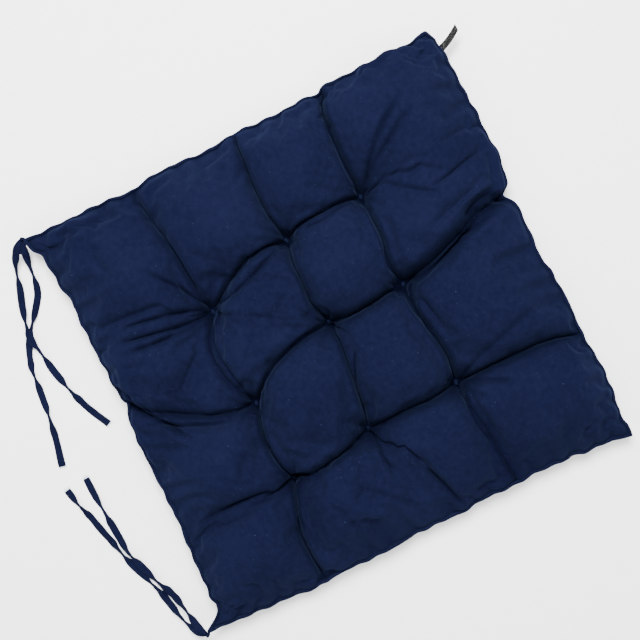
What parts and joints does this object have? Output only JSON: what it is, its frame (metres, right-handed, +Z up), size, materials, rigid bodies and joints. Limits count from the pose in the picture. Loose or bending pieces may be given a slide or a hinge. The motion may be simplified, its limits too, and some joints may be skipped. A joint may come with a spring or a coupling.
{
  "type": "tufted seat pad",
  "caption": "Square tufted seat pad with a sewn knife edge, cut tape ties at its rear corners and a small folded label in its front seam.",
  "frame": {"origin": "centre of the underside, on the surface that the pad rests on", "axes": "+Z up out of the tufted face, +Y towards the rear edge with the ties, -Y towards the front edge with the label"},
  "size_m": [0.4063, 0.5046, 0.0496],
  "materials": {
    "navy_cloth": "matt brushed microfibre with a faint sheen",
    "navy_seam": "matt cloth, turned and sewn",
    "navy_thread": "polyester sewing thread",
    "navy_tape": "matt cloth folded into tape, with cut frayed ends",
    "fibre": "white hollow polyester fibre",
    "label_tape": "woven tape, black and grey"
  },
  "bodies": {
    "pad": {"cover_top": "navy_cloth", "cover_bottom": "navy_cloth", "filling": "fibre", "edge_seam": "navy_seam", "tack_left": "navy_thread", "tack_right": "navy_thread", "tuft_1": "navy_thread", "tuft_2": "navy_thread", "tuft_3": "navy_thread", "tuft_4": "navy_thread", "tuft_5": "navy_thread", "tuft_6": "navy_thread", "tuft_7": "navy_thread", "tuft_8": "navy_thread", "tuft_9": "navy_thread"},
    "right_ties": {"tie_right_outer": "navy_tape", "tie_right_inner": "navy_tape"},
    "left_ties": {"tie_left_outer": "navy_tape", "tie_left_inner": "navy_tape"},
    "label_tab": {"label": "label_tape"}
  },
  "joints": [
    {"name": "right_ties_swing", "type": "hinge", "parent": "pad", "child": "right_ties", "pos_m": [0.203, 0.20289, 0.018], "axis": [0, 0, 1], "range_deg": [-190, 0]},
    {"name": "left_ties_swing", "type": "hinge", "parent": "pad", "child": "left_ties", "pos_m": [-0.18887, 0.21708, 0.018], "axis": [0, 0, 1], "range_deg": [0, 190]},
    {"name": "label_flap", "type": "hinge", "parent": "pad", "child": "label_tab", "pos_m": [0.18, -0.2024, 0.018], "axis": [1, 0, 0], "range_deg": [-90, 75], "stiffness_Nm_per_rad": 0.0005}
  ]
}
